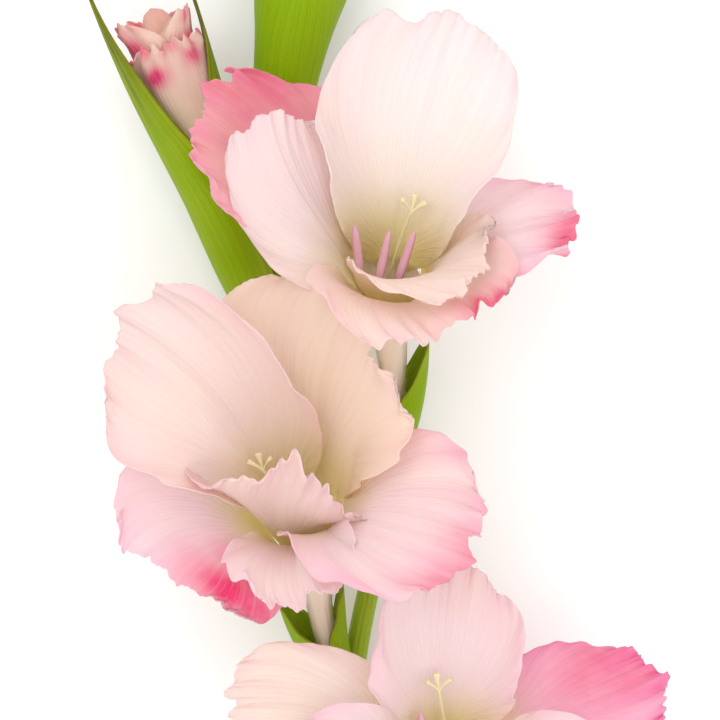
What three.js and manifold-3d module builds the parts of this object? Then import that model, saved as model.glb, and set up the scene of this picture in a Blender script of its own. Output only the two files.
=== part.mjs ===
// A cut gladiolus spike, lying on a table with its open flowers facing up. Millimetres, +Z up, +Y
// towards the tip.
//
// From the cut end up, a slightly zigzag stem carries two sheathing leaves, three open flowers, one
// opening bud and four green buds. A flower is a curved tube in two green bracts, with six tepals
// round its rim (three inner, three outer), three stamens and a style. Every blade (tepal, bract,
// leaf) is a flat outline bent along a rib, and every round piece (stem, tube, stamen, style, bud)
// is a cylinder or a lathed profile bent along a curve. A piece that grows past an earlier one
// makes way for it, with a small gap between them.
import * as THREE from "three";
import { mergeVertices } from "three/addons/utils/BufferGeometryUtils.js";
import Module from "manifold-3d";

const wasm = await Module();
wasm.setup();

// -------------------------------------------------------------------------------------------------
// Driving dimensions
// -------------------------------------------------------------------------------------------------

const STEM_LENGTH_BELOW = 225; // from the lowest flower's node down to the cut
const STEM_RADIUS = 4.6; // at the cut end
const STEM_TIP_RADIUS = 1.3;
const CLEARANCE = 0.35; // between pieces that pass each other

const FLOWER_SCALE = 1; // length and width of all the tepals
const TEPAL_THICKNESS = 0.9;
const WHORL_GAP = 1.2; // the outer tepals start this far outside the inner ones

const TUBE_RADIUS = 3.2; // of a flower's tube, inside the bracts
const TUBE_WALL = 1.0;
const RIM_RADIUS = 10.5; // outside of the tube where the tepals start
const TUBE_FLOOR = 0.38; // share of the tube's length that is solid, below its throat

const BRACT_THICKNESS = 0.8;
const BRACT_RADIUS = 5.6; // of the outer bract's base, round the tube
const LEAF_THICKNESS = 1.0;
const LEAF_LENGTH = 190;
const LEAF_WIDTH = 26;

const FILAMENT_RADIUS = 0.55;
const ANTHER_RADIUS = 1.15;
const STYLE_RADIUS = 0.5;

// -------------------------------------------------------------------------------------------------
// Finishes
// -------------------------------------------------------------------------------------------------

const PALE_PETAL = { color: "#f6dfda", roughness: 0.55 };
const PINK_PETAL = { color: "#efa9b4", roughness: 0.55 };
const CREAM = { color: "#ece0b4", roughness: 0.5 };
const GREEN = { color: "#8cae1a", roughness: 0.5 };
const DEEP_GREEN = { color: "#7d9c22", roughness: 0.5 };
const ANTHER = { color: "#cf93a6", roughness: 0.6 };
const PISTIL = { color: "#f1eaa8", roughness: 0.5 };

// -------------------------------------------------------------------------------------------------
// Small maths
// -------------------------------------------------------------------------------------------------

const { degToRad, lerp, clamp } = THREE.MathUtils;
const vec = (x, y, z) => new THREE.Vector3(x, y, z);
const sum = (...terms) => terms.reduce((total, [v, k]) => total.addScaledVector(v, k), vec(0, 0, 0));
const smooth = (t) => clamp(t, 0, 1) ** 2 * (3 - 2 * clamp(t, 0, 1));

// A value that starts at a, ends at c, and is drawn towards b on the way.
const drawn = ([a, b, c], t) => (1 - t) ** 2 * a + 2 * t * (1 - t) * b + t * t * c;

// The value at t of a list that is spread evenly over 0 to 1.
function along(values, t) {
  const at = clamp(t, 0, 1) * (values.length - 1);
  const i = Math.min(values.length - 2, Math.floor(at));
  return lerp(values[i], values[i + 1], at - i);
}

function curveThrough(...points) {
  const curve = new THREE.CatmullRomCurve3(points, false, "centripetal");
  curve.arcLengthDivisions = 400;
  return curve;
}

// -------------------------------------------------------------------------------------------------
// Frames: a place on a rib or a curve, which way it heads, which way is across it, and which way it
// faces
// -------------------------------------------------------------------------------------------------

function frame(at, heading, sideways, roll = 0) {
  const ahead = heading.clone().normalize();
  const across = sideways.clone().addScaledVector(ahead, -sideways.dot(ahead)).normalize();
  across.applyAxisAngle(ahead, degToRad(roll));
  return { at, ahead, across, face: vec(0, 0, 0).crossVectors(across, ahead) };
}

// The frame on a curve whose face is as near to the given direction as the curve allows.
function curveFrame(curve, t, facing) {
  const ahead = curve.getTangentAt(clamp(t, 0, 1));
  return frame(curve.getPointAt(clamp(t, 0, 1)), ahead, vec(0, 0, 0).crossVectors(ahead, facing));
}

// -------------------------------------------------------------------------------------------------
// Blades: tepals, bracts and leaves
// -------------------------------------------------------------------------------------------------

// An outline gives, for u from the base to the far edge and v from -1 to 1 across, a point's place
// across the rib and along it. A round one widens from its claw to its widest place and ends in
// half an ellipse, whose tip may be drawn out to a point by a share of the length.
function roundOutline({ length, width, claw, widest, point }) {
  const half = width / 2;
  const shoulder = Math.PI / 4;
  const below = 0.62; // the share of u below the widest place
  return (u, v) => {
    const turn = Math.max(0, (shoulder * (u - below)) / (1 - below));
    const spread = lerp(claw, 1, Math.sin(Math.min(1, u / below) * (Math.PI / 2)));
    const side = u < below ? half * spread : half * Math.cos(turn);
    const climb = widest + (1 - widest) * Math.sin(turn);
    const rise = length * (u < below ? (widest * u) / below : climb);
    const bulge = half * Math.sin(shoulder * v) - v * half * Math.sin(shoulder);
    const dome = length * (1 - widest) * (Math.cos(shoulder * v) - Math.cos(shoulder));
    const peak = point * length * Math.max(0, u) ** 5 * Math.max(0, 1 - Math.abs(v)) ** 2;
    return [v * side + bulge * u ** 4, rise + dome * u ** 2 + peak];
  };
}

// A pointed outline is a long lens with a blunt base and a narrow tip.
function pointedOutline({ length, width, claw, widest, tip }) {
  const half = width / 2;
  return (u, v) => {
    const growing = lerp(claw, 1, smooth(u / widest));
    const narrowing = lerp(1, tip, Math.max(0, (u - widest) / (1 - widest)) ** 1.7);
    return [v * half * Math.min(growing, narrowing), u * length];
  };
}

// The section across a blade, at a distance across from its rib: how far aside and how far out of
// the face it lies, and how far it has turned. It is bent all over, and past the start of its fold,
// on the one side, it is bent more, until it has turned by the angle at its edge.
function section(across, bend, half, fold, strength) {
  const [side, start, angle] = fold;
  const edge = start * half;
  const past = side * across - edge;
  if (past <= 0) {
    const turned = bend * across;
    return [Math.sin(turned) / bend, (1 - Math.cos(turned)) / bend, turned];
  }
  const tight = bend + (degToRad(angle) * strength) / (half - edge) || 1e-6;
  const atEdge = bend * edge;
  const turn = atEdge + tight * past;
  const aside = Math.sin(atEdge) / bend + (Math.sin(turn) - Math.sin(atEdge)) / tight;
  const lift = (1 - Math.cos(atEdge)) / bend + (Math.cos(atEdge) - Math.cos(turn)) / tight;
  return [side * aside, lift, side * turn];
}

const NO_FOLD = [1, 0, 0, 1];

// A blade has an outline, its length and width, a frame for each place along its rib, the curvature
// across it (cup, 1/mm) for each share of its length, a fold (its side, the share of the half width
// where it starts, its angle, and the share of the length that it grows over), and waves that grow
// towards its edge, each along a line that fans out from the base.
function bladePoint(blade, u, v) {
  const [q, s] = blade.outline(u, v);
  const f = blade.rib(s);
  const share = clamp(s / blade.length, 0, 1);
  const strength = smooth(share / blade.fold[3]);
  const bend = blade.cup(share) || 1e-6;
  const [aside, lift, turn] = section(q, bend, blade.width / 2, blade.fold, strength);
  const nearEdge = Math.min(1, (Math.abs(v) ** 5 * smooth(u / 0.45) + u ** 5) ** 0.2);
  const fan = Math.atan2(v, u + 0.12) / (Math.PI / 2);
  const swell = blade.ruffle * nearEdge ** 3 * Math.sin(blade.waves * Math.PI * fan + blade.phase);
  return sum(
    [f.at, 1],
    [f.across, aside - Math.sin(turn) * swell],
    [f.face, lift + Math.cos(turn) * swell],
  );
}

function bladeNormal(blade, u, v) {
  const step = 0.02;
  const up = bladePoint(blade, Math.min(1, u + step), v);
  up.sub(bladePoint(blade, Math.max(0, Math.min(1, u) - step), v));
  const side = bladePoint(blade, u, Math.min(1, v + step));
  side.sub(bladePoint(blade, u, Math.max(-1, v - step)));
  return side.cross(up).normalize();
}

// The blade as a closed sheet: a box of one layer whose two faces are laid on either side of the
// bent surface. It is grown all round, but for its base, by grow.
function bladeSolid(blade, thickness, rows, columns, grow = 0) {
  const box = new THREE.BoxGeometry(2, 1, 1, columns, rows, 1);
  const place = box.getAttribute("position");
  for (let i = 0; i < place.count; i++) {
    const u = (place.getY(i) + 0.5) * (1 + grow / blade.length);
    const v = place.getX(i) * (1 + (2 * grow) / blade.width);
    const out = place.getZ(i) * (thickness + 2 * grow);
    const p = bladePoint(blade, u, v).addScaledVector(bladeNormal(blade, u, v), out);
    place.setXYZ(i, p.x, p.y, p.z);
  }
  return solid(box);
}

// -------------------------------------------------------------------------------------------------
// Round pieces
// -------------------------------------------------------------------------------------------------

// Bends a shape that stands on y = 0 to 1 along a curve. Its x goes across the curve and its z
// towards facing.
function bendAlong(geometry, curve, facing) {
  const place = geometry.getAttribute("position");
  for (let i = 0; i < place.count; i++) {
    const f = curveFrame(curve, place.getY(i), facing);
    const p = sum([f.at, 1], [f.across, place.getX(i)], [f.face, place.getZ(i)]);
    place.setXYZ(i, p.x, p.y, p.z);
  }
  return solid(geometry);
}

// A solid round piece along a curve; its radii are spread evenly over its length.
function rod(curve, radii, facing, sides, steps) {
  const cylinder = new THREE.CylinderGeometry(1, 1, 1, sides, steps).translate(0, 0.5, 0);
  const place = cylinder.getAttribute("position");
  for (let i = 0; i < place.count; i++) {
    const radius = along(radii, place.getY(i));
    place.setX(i, place.getX(i) * radius);
    place.setZ(i, place.getZ(i) * radius);
  }
  return bendAlong(cylinder, curve, facing);
}

// -------------------------------------------------------------------------------------------------
// Solids
// -------------------------------------------------------------------------------------------------

// Only positions matter in a solid, and its faces share their corners.
function solid(geometry) {
  geometry.deleteAttribute("normal");
  geometry.deleteAttribute("uv");
  const merged = mergeVertices(geometry, 1e-4);
  const vertProperties = merged.getAttribute("position").array;
  const triVerts = new Uint32Array(merged.index.array);
  return new wasm.Manifold(new wasm.Mesh({ numProp: 3, vertProperties, triVerts }));
}

const largestOf = (shape) => shape.decompose().sort((a, b) => b.volume() - a.volume())[0];

// The pieces in the order that they make way: each has its shape and the room that later pieces
// leave it. What is left of a piece is simplified, so that its cut edges have no slivers.
const pieces = [];
const without = (shape, key, earlier) => earlier.reduce((rest, e) => rest.subtract(e[key]), shape);

function addPiece(name, finish, shape, room) {
  const crossed = pieces.filter((earlier) => shape.intersect(earlier.room).volume() > 1e-4);
  if (crossed.length) {
    const cleared = without(shape, "room", crossed).simplify(0.03);
    shape = largestOf(without(cleared, "shape", crossed).simplify(0.002));
  }
  pieces.push({ name, finish, room, shape });
}

function addBlade(name, finish, blade, thickness, rows, columns) {
  const shape = bladeSolid(blade, thickness, rows, columns);
  addPiece(name, finish, shape, bladeSolid(blade, thickness, rows, columns, CLEARANCE));
}

function addRod(name, finish, curve, radii, facing, sides, steps) {
  const wider = radii.map((radius) => radius + CLEARANCE);
  const shape = rod(curve, radii, facing, sides, steps);
  addPiece(name, finish, shape, rod(curve, wider, facing, sides, steps));
}

// -------------------------------------------------------------------------------------------------
// The stem
// -------------------------------------------------------------------------------------------------

// The nodes that the flowers and buds grow from, from the lowest up. The stem turns a little at each.
const NODES = {
  lower: vec(10, -170, 8.5),
  middle: vec(-2, -98, 9.5),
  upper: vec(5, -34, 9.5),
  opening: vec(-18, 0, 9),
  green1: vec(-25, 58, 8.5),
  green2: vec(-19, 96, 8),
  green3: vec(-20, 124, 7),
  green4: vec(-16, 148, 6.5),
  tip: vec(-17, 164, 6),
};
const CUT_END = vec(12, NODES.lower.y - STEM_LENGTH_BELOW, STEM_RADIUS + 1.6);
const stemCurve = curveThrough(
  CUT_END,
  vec(15, NODES.lower.y - 0.55 * STEM_LENGTH_BELOW, STEM_RADIUS + 2.4),
  ...Object.values(NODES),
);
const stemRadii = [STEM_RADIUS, STEM_RADIUS, 3.9, 3.3, 2.8, 2.2, STEM_TIP_RADIUS];
addRod("stem", DEEP_GREEN, stemCurve, stemRadii, vec(0, 0, 1), 10, 30);

// -------------------------------------------------------------------------------------------------
// Clasping blades: bracts, leaves, and the tepals of a bud
// -------------------------------------------------------------------------------------------------

// A clasping blade runs beside a curve, on the side that it turns its back to, and leaves it by
// lean at the tip. Its section is round the curve at the base, and as round as a circle of radius
// open at the tip.
function claspingBlade(spec) {
  const { curve, from, length, width, radius, back, lean, open } = spec;
  const run = curve.getLength();
  return {
    outline: pointedOutline({ claw: 0.62, widest: 0.42, tip: 0.07, ...spec }),
    length,
    width,
    rib: (s) => {
      const t = from + s / run;
      const f = curveFrame(curve, t, back);
      const share = s / length;
      const beyond = Math.max(0, t - 1) * run;
      const at = sum([f.at, 1], [f.face, radius + lean * smooth(share)], [f.ahead, beyond]);
      const heading = sum([f.ahead, 1], [f.face, (6 * lean * share * (1 - share)) / length]);
      return frame(at, heading, f.across.clone().negate());
    },
    cup: (t) => lerp(1 / radius, 1 / open, smooth(t)),
    fold: NO_FOLD,
    ruffle: 0,
    waves: 0,
    phase: 0,
  };
}

// -------------------------------------------------------------------------------------------------
// Flowers
// -------------------------------------------------------------------------------------------------

// A flower looks along its axis, which leans away from straight up by tilt degrees, towards the
// compass direction toward (0 is +Y, clockwise from above).
function flowerFrame({ throat, tilt, toward }) {
  const [lean, heading] = [degToRad(tilt), degToRad(toward)];
  const aside = Math.sin(lean);
  const axis = vec(aside * Math.sin(heading), aside * Math.cos(heading), Math.cos(lean));
  const up = vec(0, 1, 0).addScaledVector(axis, -axis.y).normalize();
  return { throat, axis, up, right: vec(0, 0, 0).crossVectors(up, axis) };
}

// A point in the flower's own frame: right and up across it, and out along its axis from the throat.
const inFlower = (f, right, up, out) => sum([f.throat, 1], [f.right, right], [f.up, up], [f.axis, out]);

// A tepal leaves the tube's rim at its turn round the axis (0 is up, clockwise). Its rib opens away
// from the axis by the angles in open, drifts round the axis by sweep, and rolls about itself by
// roll. cup is how far each half turns up towards the middle of its length and at its tip. All are
// degrees. claw is the tepal's width at the rim, as a share of the rim's radius.
function tepal(f, start, spec) {
  const { turn, sweep = 0, roll = 0, open, cup, widest, phase, point = 0, fold = NO_FOLD } = spec;
  const length = spec.length * FLOWER_SCALE;
  const width = spec.width * FLOWER_SCALE;
  const claw = (spec.claw * RIM_RADIUS) / width;
  const steps = 40;
  const around = (t) => degToRad(turn + sweep * t * t);
  const ribPoints = [];
  let [out, high] = [start.radius, start.height];
  for (let i = 0; i <= steps; i++) {
    const t = i / steps;
    const side = sum([f.up, Math.cos(around(t))], [f.right, Math.sin(around(t))]);
    ribPoints.push(sum([f.throat, 1], [side, out], [f.axis, high]));
    const opening = degToRad(drawn(open, t + 0.5 / steps));
    out += (Math.sin(opening) * length) / steps;
    high += (Math.cos(opening) * length) / steps;
  }
  const bends = [1 / start.radius, degToRad(cup[0]) / (width / 2), degToRad(cup[1]) / (width / 2)];
  return {
    outline: roundOutline({ length, width, claw, widest, point }),
    length,
    width,
    rib: (s) => {
      const t = s / length;
      const place = clamp(t * steps, 0, steps - 1e-6);
      const i = Math.floor(place);
      const heading = ribPoints[Math.min(steps, i + 2)].clone().sub(ribPoints[Math.max(0, i - 1)]);
      const across = sum([f.up, -Math.sin(around(t))], [f.right, Math.cos(around(t))]);
      const at = ribPoints[i].clone().lerp(ribPoints[i + 1], place - i);
      at.addScaledVector(heading.clone().normalize(), Math.max(0, s - length));
      return frame(at, heading, across, roll * smooth(t));
    },
    cup: (t) => drawn(bends, t),
    fold,
    ruffle: 1.1,
    waves: 4,
    phase,
  };
}

// The tube: a lathed funnel that is hollow from its throat down to TUBE_FLOOR, bent along its curve.
function tubeSolid(curve, grow) {
  const inner = RIM_RADIUS - TUBE_WALL;
  const outside = [
    [0, 0],
    [TUBE_RADIUS * 0.9, 0],
    [TUBE_RADIUS, 0.22],
    [TUBE_RADIUS * 1.1, 0.5],
    [RIM_RADIUS * 0.6, 0.76],
    [RIM_RADIUS * 0.82, 0.9],
    [RIM_RADIUS, 1],
  ];
  const inside = [
    [inner, 1],
    [inner * 0.78, 0.88],
    [inner * 0.52, 0.72],
    [TUBE_RADIUS - TUBE_WALL, 0.5],
    [0, TUBE_FLOOR],
  ];
  const profile = [
    ...outside.map(([r, h]) => new THREE.Vector2(r && r + grow, h)),
    ...inside.map(([r, h]) => new THREE.Vector2(Math.max(0, r - grow), h)),
  ];
  return bendAlong(new THREE.LatheGeometry(profile, 12), curve, vec(0, 0, 1));
}

// The tube leaves its node between the bracts and meets the throat along the flower's axis.
function tubeCurve(node, leave, f) {
  const reach = node.distanceTo(f.throat);
  const bend = node.clone().addScaledVector(leave, 0.42 * reach);
  const below = f.throat.clone().addScaledVector(f.axis, -0.38 * reach);
  return new THREE.CubicBezierCurve3(node, bend, below, f.throat);
}

function addStamen(name, f, base, tip) {
  const side = Math.sign(base[0] + tip[0]);
  const foot = inFlower(f, 1.6 * side, name.endsWith("middle") ? -1.9 : 0.6, -10);
  const [hinge, end] = [inFlower(f, ...base), inFlower(f, ...tip)];
  const [rising, half] = [foot.clone().lerp(hinge, 0.6), hinge.clone().lerp(end, 0.5)];
  const curve = curveThrough(foot, rising, hinge, half, end);
  const filament = Array(4).fill(FILAMENT_RADIUS);
  const anther = [ANTHER_RADIUS, ANTHER_RADIUS, ANTHER_RADIUS, 0.43 * ANTHER_RADIUS];
  addRod(name, ANTHER, curve, [...filament, ...anther], f.right, 6, 9);
}

// The style ends in three short lobes that spread from its tip.
function addStyle(name, f, points) {
  const curve = curveThrough(...points.map((p) => inFlower(f, ...p)));
  const ahead = curve.getTangentAt(1);
  const start = curve.getPointAt(1).addScaledVector(ahead, -0.6);
  const shape = [-55, 0, 55].reduce(
    (whole, turn) => {
      const aside = Math.sin(degToRad(turn));
      const heading = sum([ahead, 0.9], [f.right, aside], [f.up, turn ? 0.1 : 0.5]).normalize();
      const reach = [0, 2.2, 4.6].map((out) => start.clone().addScaledVector(heading, out));
      return whole.add(rod(curveThrough(...reach), [0.4, 0.6, 1], f.right, 5, 2));
    },
    rod(curve, [STYLE_RADIUS, STYLE_RADIUS], f.right, 6, 7),
  );
  addPiece(name, PISTIL, shape, shape);
}

function addBract(name, spec) {
  addBlade(name, GREEN, claspingBlade(spec), BRACT_THICKNESS, 6, 6);
}

function addFlower(flower) {
  const f = flowerFrame(flower);
  const { name } = flower;
  const curve = tubeCurve(flower.node, flower.leave, f);
  addPiece(`${name}_tube`, CREAM, tubeSolid(curve, 0), tubeSolid(curve, CLEARANCE));
  addStyle(`${name}_style`, f, [[0, 2.4, -9], ...flower.style]);
  for (const [part, [base, tip]] of Object.entries(flower.stamens)) {
    addStamen(`${name}_stamen_${part}`, f, base, tip);
  }
  const height = 2 * CLEARANCE;
  const inner = { radius: RIM_RADIUS - 0.6 * TUBE_WALL, height };
  const outer = { radius: inner.radius + TEPAL_THICKNESS + WHORL_GAP, height };
  for (const [part, spec] of Object.entries(flower.inner)) {
    const blade = tepal(f, inner, spec);
    addBlade(`${name}_inner_tepal_${part}`, PALE_PETAL, blade, TEPAL_THICKNESS, 8, 6);
  }
  for (const [part, spec] of Object.entries(flower.outer)) {
    const blade = tepal(f, outer, spec);
    addBlade(`${name}_outer_tepal_${part}`, PINK_PETAL, blade, TEPAL_THICKNESS, 8, 6);
  }
  addBract(`${name}_outer_bract`, { curve, radius: BRACT_RADIUS, ...flower.bracts.outer });
  addBract(`${name}_inner_bract`, { curve, radius: BRACT_RADIUS - 1.4, ...flower.bracts.inner });
}

const FLOWERS = [
  {
    name: "flower_1",
    node: NODES.upper,
    leave: vec(0.35, 0.8, 0.45).normalize(),
    throat: vec(8, 22, 36),
    tilt: 35,
    toward: 6,
    inner: {
      low: {
        turn: 155, sweep: -22, roll: -6, length: 41, width: 50,
        open: [6, 16, 72], cup: [44, 4], claw: 1.6, widest: 0.6, phase: 0,
      },
      left: {
        turn: -84, sweep: 32, roll: -6, length: 56, width: 48,
        open: [14, 44, 40], cup: [6, -6], claw: 1.6, widest: 0.6, phase: 1.2,
        fold: [-1, 0, -110, 0.3],
      },
      top: {
        turn: 12, sweep: 6, roll: -20, length: 72, width: 62,
        open: [8, 53, 67], cup: [10, -20], claw: 1.9, widest: 0.5, phase: 0.4,
        fold: [-1, 0.25, 80, 1],
      },
    },
    outer: {
      left: {
        turn: -52, sweep: -8, length: 64, width: 50,
        open: [24, 73, 54], cup: [-4, -26], claw: 1.71, widest: 0.61, phase: 2.2,
      },
      right: {
        turn: 87, roll: -6, length: 48, width: 36,
        open: [23, 58, 88], cup: [4, -5], claw: 1.37, widest: 0.57, phase: 0.8,
      },
      low: {
        turn: 170, sweep: -8, length: 44, width: 62,
        open: [20, 24, 85], cup: [30, -8], claw: 2.4, widest: 0.55, phase: 2.8,
      },
    },
    stamens: {
      left: [[-8.5, -3, 7], [-10.5, 5, 19]],
      middle: [[-3.5, -5.5, 8], [-1, 3, 19]],
      right: [[2, -5, 8], [6, 3, 19]],
    },
    style: [[1, 3, 4], [3.5, 7.5, 13], [5.5, 9.5, 20]],
    bracts: {
      outer: { from: 0.02, length: 44, width: 26, back: vec(1, -0.3, -0.2), lean: 5, open: 12 },
      inner: { from: 0.04, length: 38, width: 17, back: vec(-1, 0.2, 0), lean: 4, open: 9 },
    },
  },
  {
    name: "flower_2",
    node: NODES.middle,
    leave: vec(-0.45, 0.75, 0.45).normalize(),
    throat: vec(-16, -44, 35),
    tilt: 42,
    toward: -18,
    inner: {
      low: {
        turn: 186, sweep: -32, roll: -22, length: 36, width: 58,
        open: [8, 18, 8], cup: [-6, -30], claw: 2.1, widest: 0.42, phase: 0, point: 0.25,
      },
      top: {
        turn: -54, sweep: -6, roll: -50, length: 71, width: 63,
        open: [5, 45, 69], cup: [33, 34], claw: 1.74, widest: 0.55, phase: 0.4,
      },
      right: {
        turn: 121, sweep: -6, roll: -6, length: 62, width: 58,
        open: [28, 70, 104], cup: [14, -10], claw: 1.6, widest: 0.6, phase: 1.2,
      },
    },
    outer: {
      top: {
        turn: 16, sweep: 18, length: 60, width: 72,
        open: [14, 18, 40], cup: [-4, 16], claw: 2.03, widest: 0.56, phase: 2.2,
      },
      left: {
        turn: -134, sweep: -6, roll: -7, length: 39, width: 66,
        open: [29, 61, 86], cup: [-9, -36], claw: 2.07, widest: 0.62, phase: 0.8,
      },
      low: {
        turn: 166, sweep: -4, roll: -4, length: 46, width: 37,
        open: [22, 61, 87], cup: [31, 14], claw: 1.51, widest: 0.62, phase: 2.8,
      },
    },
    stamens: {
      left: [[-7, -3, 6], [-10, -1, 15]],
      middle: [[-3, -4, 8], [-2, 4, 19]],
      right: [[4, -3, 8], [5, 2, 17]],
    },
    style: [[-2, 1, 4], [-6, 2, 12], [-8, 3, 18]],
    bracts: {
      outer: { from: 0.02, length: 38, width: 24, back: vec(-1, -0.3, -0.2), lean: 6, open: 12 },
      inner: { from: 0.04, length: 38, width: 17, back: vec(1, 0.2, 0), lean: 3, open: 9 },
    },
  },
  {
    name: "flower_3",
    node: NODES.lower,
    leave: vec(0.4, 0.8, 0.45).normalize(),
    throat: vec(24, -113, 35),
    tilt: 34,
    toward: 12,
    inner: {
      top: {
        turn: -10, sweep: 11, roll: -4, length: 54, width: 48,
        open: [8, 42, 61], cup: [26, -2], claw: 1.52, widest: 0.48, phase: 0.4,
      },
      right: {
        turn: 130, sweep: 8, length: 55, width: 44,
        open: [13, 60, 77], cup: [24, -8], claw: 1.59, widest: 0.61, phase: 1.2,
      },
      left: {
        turn: -122, sweep: 8, length: 58, width: 40,
        open: [15, 58, 70], cup: [26, -2], claw: 1.37, widest: 0.61, phase: 0.1,
      },
    },
    outer: {
      left: {
        turn: -79, sweep: -7, length: 62, width: 37,
        open: [24, 70, 84], cup: [5, -17], claw: 1.34, widest: 0.6, phase: 2.2,
      },
      right: {
        turn: 81, sweep: -5, roll: -9, length: 57, width: 42,
        open: [24, 73, 89], cup: [0, -33], claw: 1.52, widest: 0.54, phase: 0.8,
      },
      low: {
        turn: 183, length: 57, width: 46,
        open: [26, 62, 80], cup: [18, 0], claw: 1.75, widest: 0.6, phase: 2.8,
      },
    },
    stamens: {
      left: [[-7, -1, 7], [-9, 7, 18]],
      middle: [[-2, -4.5, 8], [-1, 4, 19]],
      right: [[4, -3, 8], [6, 4, 19]],
    },
    style: [[0, 4, 4], [-2, 9, 14], [-4, 12, 22]],
    bracts: {
      outer: { from: 0.02, length: 46, width: 26, back: vec(1, -0.3, -0.2), lean: 5, open: 12 },
      inner: { from: 0.04, length: 38, width: 17, back: vec(-1, 0.2, 0), lean: 4, open: 9 },
    },
  },
];
for (const flower of FLOWERS) addFlower(flower);

// -------------------------------------------------------------------------------------------------
// Buds
// -------------------------------------------------------------------------------------------------

// The opening bud: rolled inner tepals in three outer ones, on a tube that two bracts clasp.
const openingCurve = curveThrough(
  NODES.opening,
  vec(-31, 24, 14),
  vec(-41, 52, 21),
  vec(-52, 80, 28),
  vec(-59, 99, 31),
);
const coreRadii = [2.2, 2.6, 3, 3.2, 3.6, 4.6, 5.8, 4.6];
addRod("opening_bud_core", CREAM, openingCurve, coreRadii, vec(0, 0, 1), 10, 10);
const BUD_TEPALS = {
  right: { radius: 5.4, length: 47, back: vec(0.9, 0.3, -0.2) },
  left: { radius: 6.4, length: 48, back: vec(-0.9, -0.2, -0.1) },
  front: { radius: 7.4, length: 40, back: vec(0.1, 0, 1) },
};
const BUD_FLARE = 3.4; // how much wider the bud is at its mouth
for (const [part, spec] of Object.entries(BUD_TEPALS)) {
  const place = { curve: openingCurve, from: 0.54, lean: BUD_FLARE, open: spec.radius + BUD_FLARE };
  const size = { width: 36, claw: 0.5, widest: 0.66, tip: 0.3 };
  const blade = claspingBlade({ ...place, ...size, ...spec });
  addBlade(`opening_bud_tepal_${part}`, PINK_PETAL, blade, TEPAL_THICKNESS, 7, 6);
}
addBract("opening_bud_outer_bract", {
  curve: openingCurve,
  from: 0.02,
  length: 116,
  width: 38,
  widest: 0.3,
  radius: BRACT_RADIUS + 2,
  back: vec(-0.95, -0.4, 0.15),
  lean: 6,
  open: 15,
});
addBract("opening_bud_inner_bract", {
  curve: openingCurve,
  from: 0.04,
  length: 110,
  width: 24,
  radius: BRACT_RADIUS - 1,
  back: vec(1, 0.2, -0.1),
  lean: 6,
  open: 15,
});

// A green bud: a tapered body behind its outer bract, which faces up.
function addGreenBud(name, path, { thick, length, width, back }) {
  const curve = curveThrough(...path);
  const radii = [0.4, 0.75, 1, 1, 0.8, 0.2].map((share) => share * thick);
  addRod(`${name}_body`, CREAM, curve, radii, vec(0, 0, 1), 8, 8);
  const place = { curve, from: 0.02, radius: thick + 1, back, lean: 1.5, open: thick * 3 };
  addBract(`${name}_bract`, { ...place, length, width });
}
addGreenBud("green_bud_1", [NODES.green1, vec(-20, 88, 19), vec(-13, 124, 24)], {
  thick: 7,
  length: 78,
  width: 46,
  back: vec(0.1, 0, 1),
});
addGreenBud("green_bud_2", [NODES.green2, vec(-24, 122, 14), vec(-29, 150, 18)], {
  thick: 3.7,
  length: 62,
  width: 25,
  back: vec(-0.3, 0, 1),
});
addGreenBud("green_bud_3", [NODES.green3, vec(-14, 146, 12), vec(-9, 170, 14)], {
  thick: 3,
  length: 52,
  width: 20,
  back: vec(0.3, 0, 1),
});
addGreenBud("green_bud_4", [NODES.green4, vec(-17, 166, 10.5), vec(-20, 186, 11)], {
  thick: 2.5,
  length: 44,
  width: 16,
  back: vec(-0.1, 0, 1),
});

// -------------------------------------------------------------------------------------------------
// Leaves: each sheathes the stem at its base and then lies open to one side
// -------------------------------------------------------------------------------------------------

const LEAVES = {
  leaf_lower: { from: 0.05, back: vec(-1, 0, 0.1), lean: 34 },
  leaf_upper: { from: 0.16, back: vec(1, 0, 0.1), lean: 30 },
};
for (const [name, spec] of Object.entries(LEAVES)) {
  const radius = STEM_RADIUS + 1;
  const size = { length: LEAF_LENGTH, width: LEAF_WIDTH, radius, open: 60, claw: 0.9, widest: 0.4 };
  addBlade(name, GREEN, claspingBlade({ curve: stemCurve, ...size, ...spec }), LEAF_THICKNESS, 12, 4);
}

// -------------------------------------------------------------------------------------------------
// The spike, standing on z = 0 under the middle of its box
// -------------------------------------------------------------------------------------------------

const spike = new THREE.Group();
for (const { name, finish, shape } of pieces) {
  const { vertProperties, triVerts } = shape.getMesh();
  const geometry = new THREE.BufferGeometry();
  geometry.setAttribute("position", new THREE.BufferAttribute(vertProperties, 3));
  geometry.setIndex(new THREE.BufferAttribute(triVerts, 1));
  const mesh = new THREE.Mesh(geometry, new THREE.MeshStandardMaterial({ ...finish, metalness: 0 }));
  mesh.name = name;
  spike.add(mesh);
}
const box = new THREE.Box3().setFromObject(spike);
const middle = box.getCenter(vec(0, 0, 0));
spike.position.set(-middle.x, -middle.y, -box.min.z);

export default spike;
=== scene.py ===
"""The looks of a cut gladiolus spike that lies on its back, with its open flowers facing up.

Every blade (petal, bract, leaf) starts as a grid that is bent along a rib, as in the solid model, and then
gets its frills, folds and creases. Every round piece (stem, tube, stamen, style, bud) is a grid rolled up
along a curve. Shapes are worked out in millimetres in the growing frame, whose origin is free, and are put
into the model's own frame at the end.
"""

from math import pi, radians

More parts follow.
